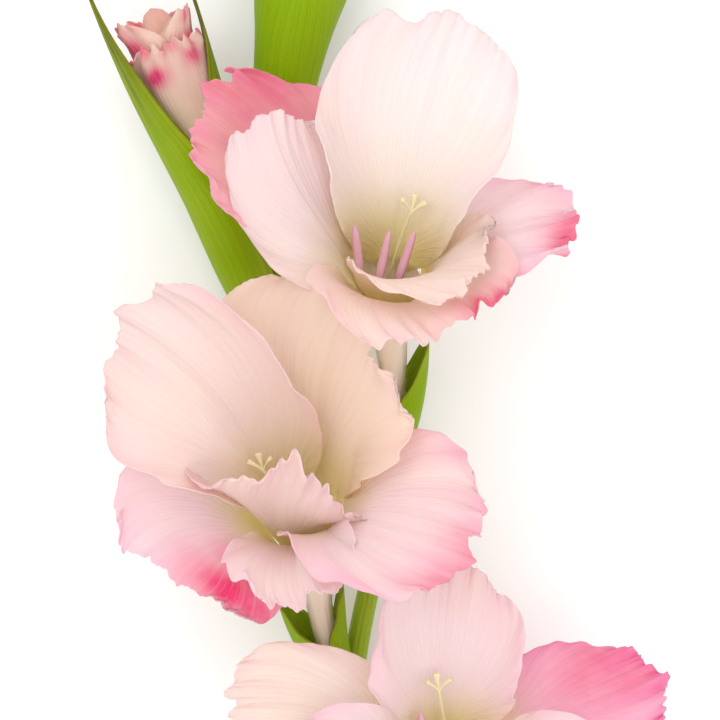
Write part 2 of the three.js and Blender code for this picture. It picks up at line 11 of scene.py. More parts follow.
import bpy
import numpy as np
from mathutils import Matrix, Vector


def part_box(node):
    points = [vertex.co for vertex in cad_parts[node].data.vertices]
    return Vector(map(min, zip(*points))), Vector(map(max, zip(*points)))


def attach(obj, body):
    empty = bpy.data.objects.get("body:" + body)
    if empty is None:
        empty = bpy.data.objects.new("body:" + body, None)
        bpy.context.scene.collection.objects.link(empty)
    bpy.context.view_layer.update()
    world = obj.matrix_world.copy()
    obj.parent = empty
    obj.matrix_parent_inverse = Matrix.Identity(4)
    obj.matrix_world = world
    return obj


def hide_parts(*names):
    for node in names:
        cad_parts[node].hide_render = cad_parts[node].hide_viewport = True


bl_info = {
    "name": "Gladiolus spike",
    "version": (1, 0, 0),
    "blender": (4, 5, 0),
    "location": "View3D > Sidebar > Gladiolus",
    "description": "Makes the petals, bracts, buds, stem and leaves of a lying gladiolus spike",
    "category": "Add Mesh",
}

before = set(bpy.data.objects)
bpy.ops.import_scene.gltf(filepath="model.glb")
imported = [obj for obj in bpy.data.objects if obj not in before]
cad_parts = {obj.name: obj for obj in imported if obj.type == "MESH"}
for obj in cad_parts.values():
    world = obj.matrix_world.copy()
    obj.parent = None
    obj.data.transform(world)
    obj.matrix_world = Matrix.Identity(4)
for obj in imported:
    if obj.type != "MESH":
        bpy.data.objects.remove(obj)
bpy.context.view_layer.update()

MM = 0.001
FACE_UP = (0, 0, 1)
NO_FOLD = (1, 1, 0, 1)
CLAW_DEPTH = 14  # how far down the tube a petal's claw runs, in millimetres
THROAT_ANGLE = 17  # how far a petal leans out where its claw leaves the tube, in degrees

# ---- The plant's own measures, in millimetres and degrees, the same as the solid model's ----

STEM_LENGTH_BELOW = 225
STEM_RADIUS = 4.6
STEM_TIP_RADIUS = 1.3
TEPAL_THICKNESS = 0.9  # of the solid tepal; the visible one is thinner
WHORL_GAP = 1.2
CLEARANCE = 0.35
TUBE_RADIUS = 3.2
TUBE_WALL = 1.0
RIM_RADIUS = 10.5
BRACT_RADIUS = 5.6
LEAF_LENGTH = 190
LEAF_WIDTH = 26
STEM_RADII = (STEM_RADIUS, STEM_RADIUS, 3.9, 3.3, 2.8, 2.2, STEM_TIP_RADIUS)
BUD_CORE_RADII = (2.2, 2.6, 3, 3.2, 3.6, 4.6, 5.8, 4.6)

# What only the looks have: relief and thicknesses in millimetres, outline waves as shares of a petal's size
BROAD_FOLD = 1.1
LARGE_FRILL = 1.5
MIDDLE_FRILL = 1.2
FINE_FRILL = 0.4
FACE_WAVE = 0.35
MIDRIB_GROOVE = 0.5
CURL_DEPTH = 3.3
OUTLINE_WAVE = 0.024
OUTLINE_NOTCH = 0.005
BRACT_LOOK_THICKNESS = 0.5
LEAF_LOOK_THICKNESS = 0.7
RELIEF_DEPTH = 0.4 * MM  # of the veins' relief at full strength, in metres

# The stage, in metres and watts: each light's place from the flowers' middle, and its power
FLOOR_SIZE = 6
LIGHT_SIZE = 1.2
LIGHTS = {"key": ((-0.5, 0.5, 1.5), 6.5), "fill": ((0.6, -0.5, 1.3), 4)}
WORLD_STRENGTH = 1.03
SENSOR_WIDTH = 36  # the camera's, in millimetres

# Where the random draws of each group of pieces start
PETAL_SEED = 1
BRACT_SEED = 40
BUD_TEPAL_SEED = 50
BUD_BRACT_SEED = 60
LEAF_SEED = 70
GREEN_BUD_SEED = 80

NODES = {
    "lower": (10, -170, 8.5),
    "middle": (-2, -98, 9.5),
    "upper": (5, -34, 9.5),
    "opening": (-18, 0, 9),
    "green1": (-25, 58, 8.5),
    "green2": (-19, 96, 8),
    "green3": (-20, 124, 7),
    "green4": (-16, 148, 6.5),
    "tip": (-17, 164, 6),
}


def tepal(
    turn, length, width, open, cup, claw, widest, phase,
    sweep=0, roll=0, point=0, fold=NO_FOLD, frill=1.0, curl=0.0, **looks,
):
    """One tepal's measures, and its looks: warm and pink all over, blush along the margin, and deep patches.
    fold is the side that folds, the share of its width where it starts, its angle, and the share of the
    length that it grows over."""
    return dict(
        turn=turn, length=length, width=width, open=open, cup=cup, claw=claw, widest=widest, phase=phase,
        sweep=sweep, roll=roll, point=point, fold=fold, frill=frill, curl=curl, looks=looks,
    )


def bract_pair(side, length, width, lean, inner_lean):
    """The measures of a flower's two bracts. The outer one's back faces side, the inner one's the other way."""
    return {
        "outer": dict(along=0.02, length=length, width=width, back=(side, -0.3, -0.2), lean=lean, open=12),
        "inner": dict(along=0.04, length=38, width=17, back=(-side, 0.2, 0), lean=inner_lean, open=9),
    }


FLOWERS = {
    "flower_1": {
        "node": "upper",
        "leave": (0.35, 0.8, 0.45),
        "throat": (8, 22, 36),
        "tilt": 35,
        "toward": 6,
        "tepals": {
            "inner_tepal_low": tepal(
                155, 41, 50, (6, 16, 72), (44, 4), 1.9, 0.6, 0, sweep=-22, roll=-6, warm=0.3, blush=0.1
            ),
            "inner_tepal_left": tepal(
                -86, 56, 44, (14, 44, 40), (6, -6), 1.6, 0.6, 1.2, sweep=29, roll=-6, frill=0.7,
                fold=(-1, 0.0, -110, 0.3), curl=0.8, warm=0.08, pink=0.05, blush=0.12
            ),
            "inner_tepal_top": tepal(
                12, 72, 62, (8, 53, 67), (10, -20), 1.9, 0.5, 0.4, sweep=6, roll=-20, frill=0.6,
                fold=(-1, 0.25, 80, 1), warm=0.04, blush=0.1
            ),
            "outer_tepal_left": tepal(
                -52, 64, 50, (24, 73, 54), (-4, -26), 1.71, 0.61, 2.2, sweep=-8, warm=0.8, pink=0.35,
                blush=0.3, deep=[(0.83, 0.56, 0.3, 0.6), (0.95, 0.0, 0.2, 0.2)]
            ),
            "outer_tepal_right": tepal(
                87, 48, 36, (23, 58, 88), (4, -5), 1.37, 0.57, 0.8, roll=-6, frill=1.6, pink=0.08,
                blush=0.35, deep=[(1.0, 0.32, 0.17, 0.8)]
            ),
            "outer_tepal_low": tepal(
                170, 44, 62, (20, 24, 85), (30, -8), 2.4, 0.55, 2.8, sweep=-8, frill=0.9, warm=0.3,
                pink=0.05, blush=0.15, deep=[(1.0, -0.63, 0.2, 0.8)]
            ),
        },
        "stamens": {
            "left": ((-8.5, -3, 7), (-10.5, 5, 19)),
            "middle": ((-3.5, -5.5, 8), (-1, 3, 19)),
            "right": ((2, -5, 8), (6, 3, 19)),
        },
        "style": ((1, 3, 4), (3.5, 7.5, 13), (5.5, 9.5, 20)),
        "bracts": bract_pair(1, 44, 26, 5, 4),
    },
    "flower_2": {
        "node": "middle",
        "leave": (-0.45, 0.75, 0.45),
        "throat": (-16, -44, 35),
        "tilt": 42,
        "toward": -18,
        "tepals": {
            "inner_tepal_low": tepal(
                186, 36, 58, (8, 18, 8), (-6, -30), 2.1, 0.42, 0, sweep=-32, roll=-22, frill=1.2, point=0.25,
                warm=0.2
            ),
            "inner_tepal_top": tepal(
                -54, 71, 63, (5, 45, 69), (33, 34), 1.74, 0.55, 0.4, sweep=-6, roll=-50, frill=0.7, warm=0.2,
                pink=0.05, blush=0.15
            ),
            "inner_tepal_right": tepal(
                121, 62, 58, (28, 70, 104), (14, -10), 1.6, 0.6, 1.2, sweep=-6, roll=-6, warm=0.1, pink=0.1,
                blush=0.3, deep=[(1.0, 0.12, 0.16, 0.45), (1.0, 0.49, 0.16, 0.55)]
            ),
            "outer_tepal_top": tepal(
                16, 60, 72, (14, 18, 40), (-4, 16), 2.03, 0.56, 2.2, sweep=18, frill=0.8, warm=0.4, blush=0.1
            ),
            "outer_tepal_left": tepal(
                -134, 39, 66, (29, 61, 86), (-9, -36), 2.07, 0.62, 0.8, roll=-7, frill=1.3, sweep=-6,
                pink=0.14, blush=0.2, deep=[(0.77, -0.66, 0.24, 1.0), (0.5, -0.6, 0.2, 0.9)]
            ),
            "outer_tepal_low": tepal(
                166, 46, 37, (22, 61, 87), (31, 14), 1.51, 0.62, 2.8, sweep=-4, roll=-4, warm=0.05,
                pink=0.05, blush=0.15
            ),
        },
        "stamens": {
            "left": ((-7, -3, 6), (-10, -1, 15)),
            "middle": ((-3, -4, 8), (-2, 4, 19)),
            "right": ((4, -3, 8), (5, 2, 17)),
        },
        "style": ((-2, 1, 4), (-6, 2, 12), (-8, 3, 18)),
        "bracts": bract_pair(-1, 38, 24, 6, 3),
    },
    "flower_3": {
        "node": "lower",
        "leave": (0.4, 0.8, 0.45),
        "throat": (24, -113, 35),
        "tilt": 34,
        "toward": 12,
        "tepals": {
            "inner_tepal_top": tepal(
                -10, 54, 48, (8, 42, 61), (26, -2), 1.52, 0.48, 0.4, sweep=11, roll=-4, warm=0.05, pink=0.1,
                blush=0.15
            ),
            "inner_tepal_right": tepal(
                130, 55, 44, (13, 60, 77), (24, -8), 1.59, 0.61, 1.2, sweep=8, pink=0.08, blush=0.2
            ),
            "inner_tepal_left": tepal(
                -122, 58, 40, (15, 58, 70), (26, -2), 1.37, 0.61, 0.1, sweep=8, pink=0.08, blush=0.2
            ),
            "outer_tepal_left": tepal(
                -79, 62, 37, (24, 70, 84), (5, -17), 1.34, 0.6, 2.2, sweep=-7, warm=0.2, blush=0.1
            ),
            "outer_tepal_right": tepal(
                81, 57, 42, (24, 73, 89), (0, -33), 1.52, 0.54, 0.8, sweep=-5, roll=-9, frill=1.3, pink=0.45,
                blush=0.5, deep=[(0.77, -0.39, 0.3, 0.55)]
            ),
            "outer_tepal_low": tepal(
                183, 57, 46, (26, 62, 80), (18, 0), 1.75, 0.6, 2.8, pink=0.2, blush=0.4
            ),
        },
        "stamens": {
            "left": ((-7, -1, 7), (-9, 7, 18)),
            "middle": ((-2, -4.5, 8), (-1, 4, 19)),
            "right": ((4, -3, 8), (6, 4, 19)),
        },
        "style": ((0, 4, 4), (-2, 9, 14), (-4, 12, 22)),
        "bracts": bract_pair(1, 46, 26, 5, 4),
    },
}

COLOURS = {
    "throat": ("Throat", (250, 240, 188)),
    "petal": ("Petals", (251, 244, 243)),
    "petal_warm": ("Petals where warm", (252, 226, 190)),
    "petal_pink": ("Petals where pink", (247, 162, 204)),
    "petal_deep": ("Petals where deep pink", (242, 70, 132)),
    "petal_vein": ("Petal veins", (250, 228, 230)),
    "bract": ("Bracts", (140, 176, 0)),
    "bract_edge": ("Margins of bracts", (178, 198, 30)),
    "dry": ("Dry margins and tips", (104, 80, 34)),
    "leaf": ("Leaves", (92, 128, 22)),
    "stem": ("Stem", (122, 154, 14)),
    "anther": ("Anthers", (240, 200, 190)),
    "anther_edge": ("Edges of anthers", (222, 150, 186)),
    "anther_speck": ("Specks on anthers", (110, 50, 100)),
    "stigma": ("Stigmas", (246, 236, 190)),
}

OPENING_BUD_PATH = (NODES["opening"], (-31, 24, 14), (-41, 52, 21), (-52, 80, 28), (-59, 99, 31))
BUD_FLARE = 3.4
BUD_TEPALS = {
    "right": dict(radius=5.4, length=47, back=(0.9, 0.3, -0.2)),
    "left": dict(radius=6.4, length=48, back=(-0.9, -0.2, -0.1)),
    "front": dict(radius=7.4, length=40, back=(0.1, 0, 1)),
}
BUD_BRACTS = {
    "outer": dict(
        along=0.02, length=116, width=38, radius=BRACT_RADIUS + 2, back=(-0.95, -0.4, 0.15), lean=7.5,
        open=15, widest=0.3,
    ),
    "inner": dict(
        along=0.04, length=110, width=24, radius=BRACT_RADIUS - 1, back=(1, 0.2, -0.1), lean=8, open=15,
    ),
}



def green_bud(node, middle, tip, thick, length, width, aside):
    """One green bud's path and thickness, and its bract's measures; the bract's back faces aside and up."""
    return dict(path=(NODES[node], middle, tip), thick=thick, length=length, width=width, back=(aside, 0, 1))


GREEN_BUDS = {
    "green_bud_1": green_bud("green1", (-20, 88, 19), (-13, 124, 24), 7, 78, 46, 0.1),
    "green_bud_2": green_bud("green2", (-24, 122, 14), (-29, 150, 18), 3.7, 62, 25, -0.3),
    "green_bud_3": green_bud("green3", (-14, 146, 12), (-9, 170, 14), 3, 52, 20, 0.3),
    "green_bud_4": green_bud("green4", (-17, 166, 10.5), (-20, 186, 11), 2.5, 44, 16, -0.1),
}


# ---- Small maths, on arrays ----


def unit(v):
    """v, or each vector of v, at length 1."""
    v = np.asarray(v, float)
    return v / np.maximum(np.linalg.norm(v, axis=-1, keepdims=True), 1e-12)


def smooth(t):
    """A soft step from 0 to 1."""
    t = np.clip(t, 0, 1)
    return t * t * (3 - 2 * t)


def drawn(values, t):
    """A value that starts at the first of three, ends at the last, and is drawn towards the middle one."""
    a, b, c = values
    return (1 - t) ** 2 * a + 2 * t * (1 - t) * b + t * t * c


def spread(values, t):
    """The value at t of a list that is spread evenly over 0 to 1."""
    return np.interp(np.clip(t, 0, 1), np.linspace(0, 1, len(values)), values)


def mix(a, b, t):
    return a + (b - a) * t


def ripple(x, rng, lowest, highest, count=5):
    """A seeded wavy line along x, between about -1 and 1, with waves of the given numbers per unit."""
    waves = rng.uniform(lowest, highest, count)
    phases = rng.uniform(0, 2 * pi, count)
    return sum(np.sin(2 * pi * w * x + p) for w, p in zip(waves, phases)) / count**0.5


def frames_on(at, ahead, sideways, roll=0.0):
    """Places with the ways that are ahead, across and out of the face, rolled by roll radians."""
    ahead = unit(ahead)
    across = unit(sideways - ahead * (sideways * ahead).sum(-1, keepdims=True))
    face = np.cross(across, ahead)
    roll = np.asarray(roll)[..., None]
    across = across * np.cos(roll) - face * np.sin(roll)
    return at, ahead, across, np.cross(across, ahead)


class Curve:
    """A curve that gives its places and headings at shares of its length."""

    def __init__(self, points):
        self.points = np.asarray(points, float)
        steps = np.linalg.norm(np.diff(self.points, axis=0), axis=1)
        self.run = np.concatenate([[0], np.cumsum(steps)])
        self.length = self.run[-1]

    def at(self, t):
        s = np.clip(t, 0, 1) * self.length
        return np.stack([np.interp(s, self.run, self.points[:, i]) for i in range(3)], -1)

    def ahead(self, t):
        step = 0.004
        return unit(self.at(np.clip(t, 0, 1 - step) + step) - self.at(np.clip(t, step, 1) - step))

    def frames(self, t, facing):
        ahead = self.ahead(t)
        return frames_on(self.at(t), ahead, np.cross(ahead, np.asarray(facing, float)))


def curve_through(*points, steps=40):
    """A centripetal spline through the points."""
    p = np.asarray(points, float)
    p = np.concatenate([[2 * p[0] - p[1]], p, [2 * p[-1] - p[-2]]])
    places = []
    for p0, p1, p2, p3 in zip(p, p[1:], p[2:], p[3:]):
        d0, d1, d2 = (np.linalg.norm(b - a) ** 0.5 for a, b in ((p0, p1), (p1, p2), (p2, p3)))
        m1 = ((p1 - p0) / d0 - (p2 - p0) / (d0 + d1) + (p2 - p1) / d1) * d1
        m2 = ((p2 - p1) / d1 - (p3 - p1) / (d1 + d2) + (p3 - p2) / d2) * d1
        t = np.linspace(0, 1, steps, endpoint=False)[:, None]
        rise = 3 * t * t - 2 * t**3
        places.append(p1 * (1 - rise) + p2 * rise + m1 * (t**3 - 2 * t * t + t) + m2 * (t**3 - t * t))
    return Curve(np.concatenate([*places, [p[-2]]]))


def bezier(p0, p1, p2, p3, steps=120):
    t = np.linspace(0, 1, steps)[:, None]
    return Curve((1 - t) ** 3 * p0 + 3 * t * (1 - t) ** 2 * p1 + 3 * t * t * (1 - t) * p2 + t**3 * p3)


# ---- Outlines and blades ----


def round_outline(u, v, length, width, claw, widest, point=0.0):
    """How far across and along a tepal's point is: it widens from its claw and ends in half an ellipse, whose
    tip may be drawn out to a point."""
    half, shoulder, below = width / 2, pi / 4, 0.62
    turn = np.maximum(0, shoulder * (u - below) / (1 - below))
    widening = half * mix(claw, 1, np.sin(np.minimum(1, u / below) * pi / 2))
    side = np.where(u < below, widening, half * np.cos(turn))
    rise = np.where(u < below, widest * length * u / below, length * (widest + (1 - widest) * np.sin(turn)))
    bulge = half * np.sin(shoulder * v) - v * half * np.sin(shoulder)
    dome = length * (1 - widest) * (np.cos(shoulder * v) - np.cos(shoulder))
    peak = point * length * np.maximum(u, 0) ** 5 * (1 - np.abs(v)) ** 2
    return v * side + bulge * u**4, rise + dome * u**2 + peak


def pointed_outline(u, v, length, width, claw, widest, tip):
    """A long lens with a blunt base and a narrow tip."""
    growing = mix(claw, 1, smooth(u / widest))
    narrowing = mix(1, tip, np.maximum(0, (u - widest) / (1 - widest)) ** 1.7)
    return v * width / 2 * np.minimum(growing, narrowing), u * length


def near_edge(u, v):
    return np.minimum(1, (np.abs(v) ** 5 * smooth(u / 0.45) + np.maximum(u, 0) ** 5) ** 0.2)


def fan_of(u, v):
    """Which vein a point is on: -1 to 1 across, in lines that fan out from the base."""
    return np.arctan2(v, np.maximum(u, 0) + 0.12) / (pi / 2)


def section(q, bend, half=1.0, fold=NO_FOLD, strength=1.0):
    """How far across and up a point of a blade's section is, and how far it has turned: an arc, that bends
    more tightly past its fold."""
    side, start, angle, _ = fold
    bend = np.where(np.abs(bend) < 1e-6, 1e-6, bend)
    edge = start * half
    past = np.maximum(0, side * q - edge)
    tight = bend + np.radians(angle) * strength / max(half - edge, 1e-6)
    tight = np.where(np.abs(tight) < 1e-6, 1e-6, tight)
    at_edge = bend * edge
    turn = np.where(past > 0, side * (at_edge + tight * past), bend * q)
    folded = side * np.sin(at_edge) / bend + (np.sin(turn) - side * np.sin(at_edge)) / tight
    aside = np.where(past > 0, folded, np.sin(turn) / bend)
    rising = (1 - np.cos(at_edge)) / bend + (np.cos(at_edge) - np.cos(turn)) / tight
    lift = np.where(past > 0, rising, (1 - np.cos(turn)) / bend)
    return aside, lift, turn


def flower_frame(flower):
    """A flower's throat, and the ways that are out along its axis, up and right in it."""
    lean, heading = radians(flower["tilt"]), radians(flower["toward"])
    axis = np.array([np.sin(lean) * np.sin(heading), np.sin(lean) * np.cos(heading), np.cos(lean)])
    up = unit(np.array([0, 1, 0]) - axis * axis[1])
    return np.array(flower["throat"], float), axis, up, np.cross(up, axis)


def whorl_start(part):
    inner = RIM_RADIUS - 0.6 * TUBE_WALL
    return inner if part.startswith("inner") else inner + TEPAL_THICKNESS + WHORL_GAP


def tepal_surface(flower, part, u, v, rng=None):
    """The places on a tepal's bent surface, and which way its face looks. With rng it gets its frills."""
    spec = flower["tepals"][part]
    throat, axis, up, right = flower_frame(flower)
    length, width, half = spec["length"], spec["width"], spec["width"] / 2
    start, height = whorl_start(part), 2 * CLEARANCE
    claw = spec["claw"] * RIM_RADIUS / width

    steps, below = 40, 16
    t = np.arange(-below, steps + 1) / steps
    in_tube = mix(spec["open"][0], THROAT_ANGLE, smooth(-t * 6))
    opening = np.radians(np.where(t < 0, in_tube, drawn(spec["open"], t + 0.5 / steps)))
    run = lambda way: np.concatenate([[0], np.cumsum(way(opening))[:-1]]) * length / steps
    out, high = run(np.sin), run(np.cos)
    out, high = start + out - out[below], height + high - high[below]
    around = np.radians(spec["turn"] + spec["sweep"] * np.maximum(t, 0) ** 2)
    side = np.cos(around)[:, None] * up + np.sin(around)[:, None] * right
    rib = throat + side * out[:, None] + axis * high[:, None]

    fan, near = fan_of(u, v), near_edge(u, v)
    q, s = round_outline(u, v, length, width, claw, spec["widest"], spec["point"])
    if rng is not None:
        wave = OUTLINE_WAVE * ripple(fan, rng, 2, 5)
        notch = 1 + near**8 * (wave + OUTLINE_NOTCH * spec["frill"] * ripple(fan, rng, 9, 22, 7))
        q, s = q * notch, s * notch
    t = s / length
    place = np.clip(t * steps + below, 0, steps + below - 1e-6)
    i = place.astype(int)
    f = (place - i)[..., None]
    beyond = np.maximum(0, t * steps - steps)[..., None]
    at = rib[i] * (1 - f) + rib[i + 1] * f + (rib[-1] - rib[-2]) * beyond
    ahead = rib[np.minimum(steps + below, i + 2)] - rib[np.maximum(0, i - 1)]
    around = np.radians(spec["turn"] + spec["sweep"] * np.maximum(t, 0) ** 2)
    across = -np.sin(around)[..., None] * up + np.cos(around)[..., None] * right
    at, _, across, face = frames_on(at, ahead, across, np.radians(spec["roll"]) * smooth(t))

    bends = (1 / start, radians(spec["cup"][0]) / half, radians(spec["cup"][1]) / half)
    radius = np.interp(place, np.arange(len(out)), out)
    bend = np.where(t < 0, 1 / radius, drawn(bends, np.clip(t, 0, 1)))
    q = np.where(t < 0, q * radius / start, q)
    aside, lift, turn = section(q, bend, half, spec["fold"], smooth(t / spec["fold"][3]))
    swell = BROAD_FOLD * near**3 * np.sin(4 * pi * fan + spec["phase"])
    if rng is not None:
        frill = spec["frill"]
        swell = swell + near**5 * LARGE_FRILL * frill * ripple(fan, rng, 1.6, 4)
        swell = swell + near**9 * MIDDLE_FRILL * frill * ripple(fan, rng, 5, 10)
        swell = swell + near**16 * FINE_FRILL * frill * ripple(fan, rng, 12, 22)
        swell = swell + FACE_WAVE * smooth(u) * ripple(fan + 0.15 * u, rng, 1, 2.6, 4)
        swell = swell - spec["curl"] * np.maximum(0, near - 0.45) ** 2 * CURL_DEPTH
        swell = swell - MIDRIB_GROOVE * np.exp(-((v / 0.05) ** 2)) * smooth(u / 0.2) * smooth((1 - u) / 0.4)
    slant = np.cos(turn)
    p = at + across * (aside - np.sin(turn) * swell)[..., None] + face * (lift + slant * swell)[..., None]
    return p, unit(face * slant[..., None] - across * np.sin(turn)[..., None])


def clasping_surface(curve, u, v, along, length, width, radius, back, lean, open, **outline):
    """The places on a blade that runs beside a curve and clasps it, leaving it by lean at the tip."""
    shape = {"claw": 0.62, "widest": 0.42, "tip": 0.07} | outline
    q, s = pointed_outline(u, v, length, width, **shape)
    share = s / length
    t = along + s / curve.length
    at, ahead, across, face = curve.frames(t, back)
    beyond = np.maximum(0, t - 1) * curve.length
    at = at + face * (radius + lean * smooth(share))[..., None] + ahead * beyond[..., None]
    heading = ahead + face * (6 * lean * share * (1 - share) / length)[..., None]
    at, _, across, face = frames_on(at, heading, -across)
    bend = mix(1 / radius, 1 / open, smooth(share))
    aside, lift, turn = section(q, bend)
    p = at + across * aside[..., None] + face * lift[..., None]
    return p, unit(face * np.cos(turn)[..., None] - across * np.sin(turn)[..., None])


def tube_curve(flower):
    throat, axis, _, _ = flower_frame(flower)
    leave = unit(flower["leave"])
    node = np.array(NODES[flower["node"]], float)
    reach = np.linalg.norm(throat - node)
    return bezier(node, node + leave * 0.42 * reach, throat - axis * 0.38 * reach, throat)


def stem_curve():
    cut = (12, NODES["lower"][1] - STEM_LENGTH_BELOW, STEM_RADIUS + 1.6)
    bow = (15, NODES["lower"][1] - 0.55 * STEM_LENGTH_BELOW, STEM_RADIUS + 2.4)
    return curve_through(cut, bow, *NODES.values())


def origin_shift():
    """From the growing frame to the model's own: the middle of one plain solid tepal's box is where the
    middle of the box round its formula's points goes."""
    part, node = "outer_tepal_right", "flower_1_outer_tepal_right"
    u, v = np.meshgrid(np.linspace(0, 1, 9), np.linspace(-1, 1, 7), indexing="ij")
    p, _ = tepal_surface(FLOWERS["flower_1"], part, u, v)
    low, high = (np.array(corner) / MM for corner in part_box(node))
    return (low + high) / 2 - (p.reshape(-1, 3).min(0) + p.reshape(-1, 3).max(0)) / 2


SHIFT = origin_shift()

# ---- Meshes ----


def grid(name, rows, columns):
    """A flat grid, which the shapes below are bent from: its Y is along the piece and its X across it."""
    bpy.ops.object.select_all(action="DESELECT")
    bpy.ops.mesh.primitive_grid_add(x_subdivisions=columns, y_subdivisions=rows, size=2)
    piece = bpy.context.object
    piece.name = piece.data.name = name
    return piece


def along_across(piece):
    """u, along a grid from 0 to 1, and v, across it from -1 to 1, for each of its points."""
    flat = np.empty(len(piece.data.vertices) * 3)
    piece.data.vertices.foreach_get("co", flat)
    flat = flat.reshape(-1, 3)
    return np.clip((flat[:, 1] + 1) / 2, 0, 1), np.clip(flat[:, 0], -1, 1)


def lay(piece, places):
    """Puts a piece's points at places in the growing frame."""
    piece.data.vertices.foreach_set("co", ((places + SHIFT) * MM).astype(np.float32).ravel())
    piece.data.update()


def set_mask(piece, name, values):
    mask = piece.data.attributes.new(name, "FLOAT", "POINT")
    mask.data.foreach_set("value", np.asarray(values, np.float32).ravel())


def set_uv(piece, x, y):
    """The UV map takes x and y from the points, so that patterns follow the veins."""
    corners = np.empty(len(piece.data.loops), int)
    piece.data.loops.foreach_get("vertex_index", corners)
    piece.data.uv_layers.active.data.foreach_set("uv", np.stack([x[corners], y[corners]], -1).ravel())


def apply_modifier(piece, kind, **settings):
    bpy.context.view_layer.objects.active = piece
    bpy.ops.object.modifier_add(type=kind)
    modifier = piece.modifiers[-1]
    for name, value in settings.items():
        setattr(modifier, name, value)
    bpy.ops.object.modifier_apply(modifier=modifier.name)


def thicken(piece, thickness):
    apply_modifier(piece, "SOLIDIFY", thickness=thickness * MM, offset=0, use_even_offset=False)


def close_seams(piece):
    """Joins a rolled grid's two long edges, and each end that has shrunk to a point."""
    bpy.context.view_layer.objects.active = piece
    bpy.ops.object.mode_set(mode="EDIT")
    bpy.ops.mesh.select_all(action="SELECT")
    bpy.ops.mesh.remove_doubles(threshold=1e-6)
    bpy.ops.mesh.normals_make_consistent(inside=False)
    bpy.ops.object.mode_set(mode="OBJECT")


def roll_up(name, curve, rings, facing, sides, rows, dent=None):
    """A closed round piece along a curve. rings are (share of the length, radius) pairs from one end to the
    other, and dent(share of the length, angle) multiplies the radius."""
    piece = grid(name, rows, sides)
    u, v = along_across(piece)
    rings = np.array(rings, float)
    at = np.linspace(0, 1, len(rings))
    t, radius = np.interp(u, at, rings[:, 0]), np.interp(u, at, rings[:, 1])
    angle = pi * v
    if dent is not None:
        radius = radius * dent(t, angle)
    place, _, across, face = curve.frames(t, facing)
    aside, up = (radius * np.cos(angle))[:, None], (radius * np.sin(angle))[:, None]
    lay(piece, place + across * aside - face * up)
    set_mask(piece, "along", t)
    close_seams(piece)
    return piece


def share_along(piece):
    """How far along its curve each point of a rolled piece is, from 0 to 1."""
    share = np.empty(len(piece.data.vertices), np.float32)
    piece.data.attributes["along"].data.foreach_get("value", share)
    return share


def finish_piece(piece, finish, node):
    """A piece with the finish of that name rides on the model's one body and stands for its solid."""
    bpy.ops.object.select_all(action="DESELECT")
    piece.select_set(True)
    bpy.context.view_layer.objects.active = piece
    bpy.ops.object.shade_smooth()
    piece.data.materials.clear()
    piece.data.materials.append(bpy.data.materials[f"{finish}_finish"])
    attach(piece, "root")
    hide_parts(node)
    return piece


# ---- Finishes ----


def colour(red, green, blue):
    """A display colour of 0 to 255 as the linear colour that a shader takes."""
    c = np.array([red, green, blue]) / 255
    linear = np.where(c <= 0.04045, c / 12.92, ((c + 0.055) / 1.055) ** 2.4)
    return (*(float(x) for x in linear), 1.0)


class Nodes:
    """A small hand for wiring a material or a node group."""

    def __init__(self, tree):
        self.tree = tree

    def add(self, kind, **settings):
        node = self.tree.nodes.new(kind)
        for name, value in settings.items():
            setattr(node, name, value)
        return node

    def link(self, out, into):
        self.tree.links.new(out, into)

    def mask(self, name):
        return self.add("ShaderNodeAttribute", attribute_name=name).outputs["Fac"]

    def math(self, operation, a, b=0.0, clamp=False):
        node = self.add("ShaderNodeMath", operation=operation, use_clamp=clamp)
        for socket, value in zip(node.inputs, (a, b)):
            if isinstance(value, (int, float)):
                socket.default_value = value
            else:
                self.link(value, socket)
        return node.outputs[0]

    def blend(self, a, b, share, blend_type="MIX"):
        node = self.add("ShaderNodeMix", data_type="RGBA", blend_type=blend_type)
        for socket, value in ((node.inputs[0], share), (node.inputs[6], a), (node.inputs[7], b)):
            if isinstance(value, (int, float, tuple)):
                socket.default_value = value
            else:
                self.link(value, socket)
        return node.outputs[2]

    def noise(self, scale, detail=3.0, vector=None, roughness=0.5):
        node = self.add("ShaderNodeTexNoise")
        node.inputs["Scale"].default_value = scale
        node.inputs["Detail"].default_value = detail
        node.inputs["Roughness"].default_value = roughness
        if vector is None:
            vector = self.add("ShaderNodeTexCoord").outputs["Object"]
        self.link(vector, node.inputs["Vector"])
        return node.outputs["Fac"]


def group(name, inputs, outputs):
    """A shader node group with its sockets, as (tree, nodes, inputs, outputs)."""
    tree = bpy.data.node_groups.new(name, "ShaderNodeTree")
    for socket, kind, value in inputs:
        made = tree.interface.new_socket(socket, in_out="INPUT", socket_type=kind)
        made.default_value = value
    for socket, kind in outputs:
        tree.interface.new_socket(socket, in_out="OUTPUT", socket_type=kind)
    n = Nodes(tree)
    return tree, n, n.add("NodeGroupInput").outputs, n.add("NodeGroupOutput").inputs


